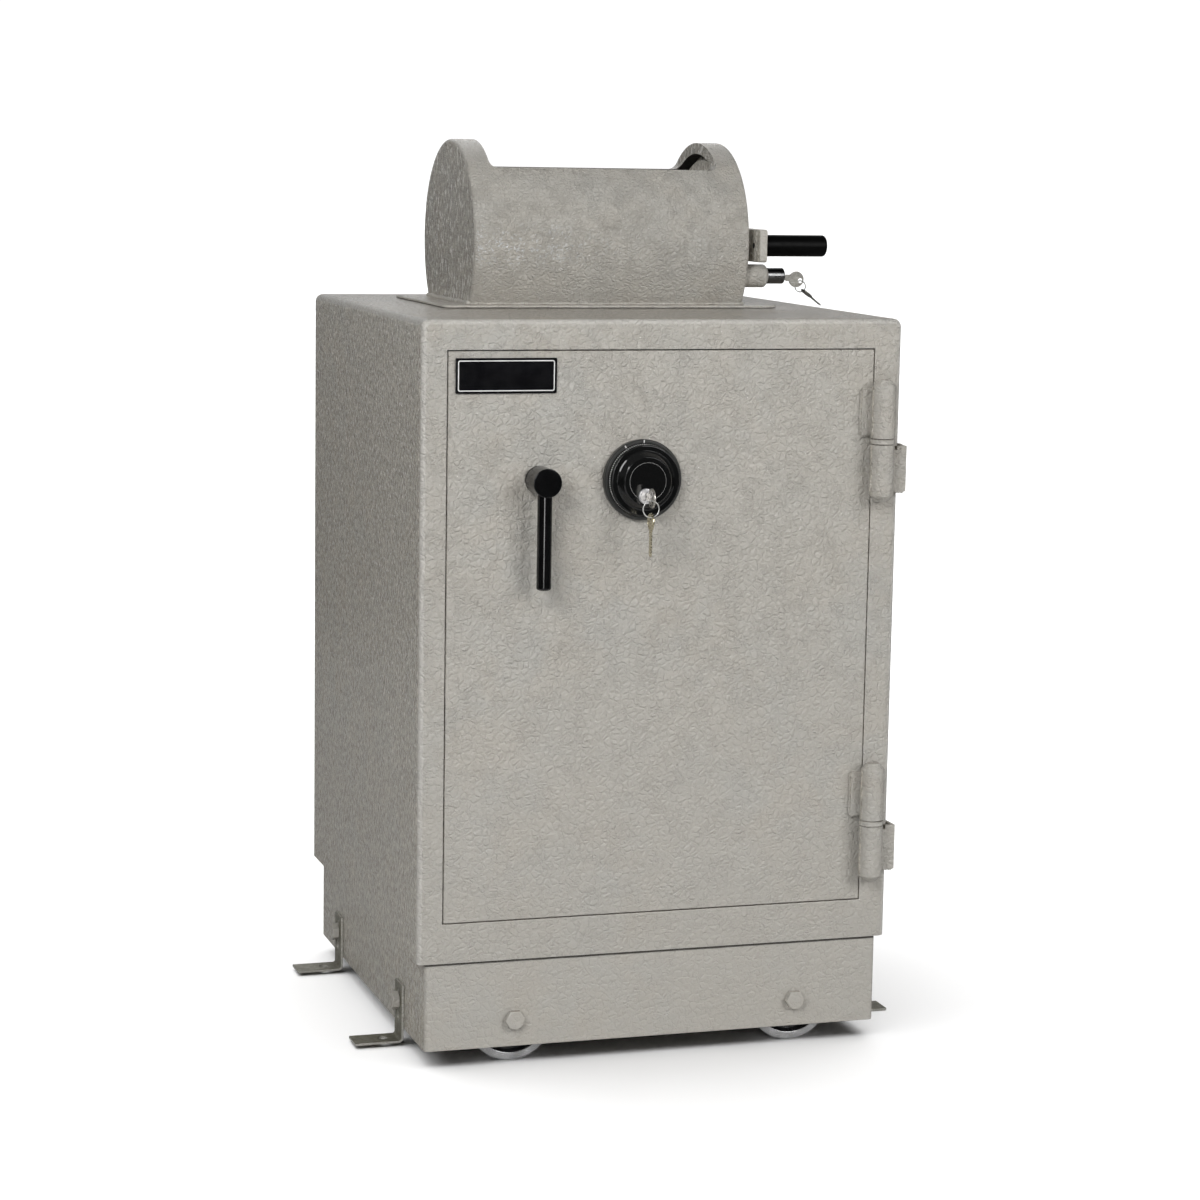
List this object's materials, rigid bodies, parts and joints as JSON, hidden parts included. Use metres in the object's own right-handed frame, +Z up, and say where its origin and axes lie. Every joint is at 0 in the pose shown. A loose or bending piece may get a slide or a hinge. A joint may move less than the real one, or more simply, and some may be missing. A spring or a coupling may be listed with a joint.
{
  "type": "drop safe with rotary deposit hopper",
  "caption": "Floor-standing plate-steel drop safe with a hinged combination-lock door, a crank-turned deposit drum in a hopper on top, and a wheeled plinth with floor anchor brackets.",
  "frame": {"origin": "centre of the whole assembly's footprint box, at the floor plane that the wheels and the right-hand anchor feet stand on", "axes": "+Z up; the door faces -Y; +X points to the hinge and crank side, on the right as seen from the front"},
  "size_m": [0.64, 0.5946, 1.0075],
  "materials": {
    "paint": "grey-beige wrinkle-textured enamel, semi-gloss",
    "steel": "mill-finish steel, lightly oiled",
    "bright_steel": "turned bright steel",
    "zinc": "dull olive-grey zinc plate, bright at the sheared edges",
    "chrome": "polished chrome plate",
    "key_nickel": "nickel-plated, stamped",
    "bronze": "plain bronze",
    "gloss_black": "gloss black enamel",
    "dial_black": "black lacquer, turned grain, white graduations",
    "grip_black": "moulded black plastic, semi-gloss",
    "nameplate": "gloss black with a white border line, otherwise bare",
    "wheel": "turned steel tread, dark painted web"
  },
  "bodies": {
    "cabinet": {"cabinet_shell": "paint", "door_frame": "paint", "anti_fishing_plate": "paint", "plinth_frame": "paint", "axle_bolt_front_left": "paint", "axle_bolt_front_right": "paint", "axle_bolt_rear_left": "paint", "axle_bolt_rear_right": "paint", "anchor_bracket_front_left": "zinc", "anchor_bracket_front_right": "zinc", "anchor_bracket_rear_left": "zinc", "anchor_bracket_rear_right": "zinc", "anchor_bolt_front_left": "paint", "anchor_bolt_front_right": "paint", "anchor_bolt_rear_left": "paint", "anchor_bolt_rear_right": "paint", "hopper_flange": "paint", "hopper_housing": "paint", "drum_bush_left": "bronze", "drum_bush_right": "bronze", "deposit_lock_boss": "paint", "deposit_lock_body": "bright_steel", "hinge_frame_half_top": "paint", "hinge_frame_half_bottom": "paint"},
    "front_left_wheel": {"wheel_front_left": "wheel"},
    "front_right_wheel": {"wheel_front_right": "wheel"},
    "rear_left_wheel": {"wheel_rear_left": "wheel"},
    "rear_right_wheel": {"wheel_rear_right": "wheel"},
    "door": {"door_plate": "paint", "boltwork_cover": "paint", "nameplate": "nameplate", "hinge_side_dead_bar": "steel", "bolt_guide_rail": "steel", "combination_lock_case": "steel", "hinge_door_half_top": "paint", "hinge_door_half_bottom": "paint", "dial_ring": "dial_black"},
    "handle": {"handle_hub": "gloss_black", "handle_rod": "gloss_black", "handle_spindle_cam": "steel"},
    "boltwork": {"bolt_carriage": "steel", "locking_bolt_bottom": "bright_steel", "locking_bolt_middle": "bright_steel", "locking_bolt_top": "bright_steel"},
    "lock_bolt": {"combination_lock_bolt": "bronze"},
    "dial": {"dial_knob": "dial_black"},
    "dial_plug": {"dial_key_plug": "chrome", "dial_key": "key_nickel"},
    "dial_keys": {"dial_key_ring": "key_nickel", "dial_spare_key": "key_nickel"},
    "drum": {"deposit_drum": "paint", "crank_arm": "paint"},
    "grip": {"crank_grip": "grip_black"},
    "deposit_plug": {"deposit_lock_plug": "chrome", "deposit_key": "key_nickel"},
    "lock_pin": {"drum_lock_pin": "bright_steel"},
    "deposit_keys": {"deposit_key_ring": "key_nickel", "deposit_spare_key": "key_nickel"}
  },
  "joints": [
    {"name": "door_swing", "type": "hinge", "parent": "cabinet", "child": "door", "pos_m": [0.2473, -0.25675, 0.47], "axis": [0, 0, 1], "range_deg": [0, 180]},
    {"name": "handle_turn", "type": "hinge", "parent": "door", "child": "handle", "pos_m": [-0.1435, -0.26, 0.6465], "axis": [0, 1, 0], "range_deg": [0, 90]},
    {"name": "bolt_throw", "type": "slide", "parent": "door", "child": "boltwork", "axis": [-1, 0, 0], "range_m": [0, 0.0221]},
    {"name": "lock_bolt_slide", "type": "slide", "parent": "door", "child": "lock_bolt", "axis": [0, 0, 1], "range_m": [0, 0.009]},
    {"name": "dial_spin", "type": "hinge", "parent": "door", "child": "dial", "pos_m": [-0.028, -0.26, 0.6455], "axis": [0, 1, 0], "continuous": true},
    {"name": "dial_key_turn", "type": "hinge", "parent": "dial", "child": "dial_plug", "pos_m": [-0.03, -0.26, 0.6295], "axis": [0, 1, 0], "range_deg": [0, 90]},
    {"name": "dial_keys_swing", "type": "hinge", "parent": "dial_plug", "child": "dial_keys", "pos_m": [-0.031, -0.28775, 0.626], "axis": [0, 1, 0], "range_deg": [-35, 35]},
    {"name": "front_left_wheel_spin", "type": "hinge", "parent": "cabinet", "child": "front_left_wheel", "pos_m": [-0.1625, -0.21575, 0.05], "axis": [0, 1, 0], "continuous": true},
    {"name": "front_right_wheel_spin", "type": "hinge", "parent": "cabinet", "child": "front_right_wheel", "pos_m": [0.1665, -0.21575, 0.05], "axis": [0, 1, 0], "continuous": true},
    {"name": "rear_left_wheel_spin", "type": "hinge", "parent": "cabinet", "child": "rear_left_wheel", "pos_m": [-0.1625, 0.26061, 0.05], "axis": [0, 1, 0], "continuous": true},
    {"name": "rear_right_wheel_spin", "type": "hinge", "parent": "cabinet", "child": "rear_right_wheel", "pos_m": [0.1665, 0.26061, 0.05], "axis": [0, 1, 0], "continuous": true},
    {"name": "drum_turn", "type": "hinge", "parent": "cabinet", "child": "drum", "pos_m": [0.0045, 0.08725, 0.8905], "axis": [-1, 0, 0], "range_deg": [0, 180]},
    {"name": "grip_spin", "type": "hinge", "parent": "drum", "child": "grip", "pos_m": [0.23, -0.01505, 0.8905], "axis": [1, 0, 0], "continuous": true},
    {"name": "deposit_key_turn", "type": "hinge", "parent": "cabinet", "child": "deposit_plug", "pos_m": [0.21, -0.00275, 0.855], "axis": [1, 0, 0], "range_deg": [0, 90]},
    {"name": "drum_lock_slide", "type": "slide", "parent": "cabinet", "child": "lock_pin", "axis": [-1, 0, 0], "range_m": [0, 0.0101]},
    {"name": "deposit_keys_swing", "type": "hinge", "parent": "deposit_plug", "child": "deposit_keys", "pos_m": [0.243, -0.00275, 0.8495], "axis": [0, -1, 0], "range_deg": [0, 60]}
  ],
  "couplings": [
    {"joint": "bolt_throw", "follows": "handle_turn", "m_per_rad": 0.014006},
    {"joint": "drum_lock_slide", "follows": "deposit_key_turn", "m_per_rad": 0.0063662}
  ]
}
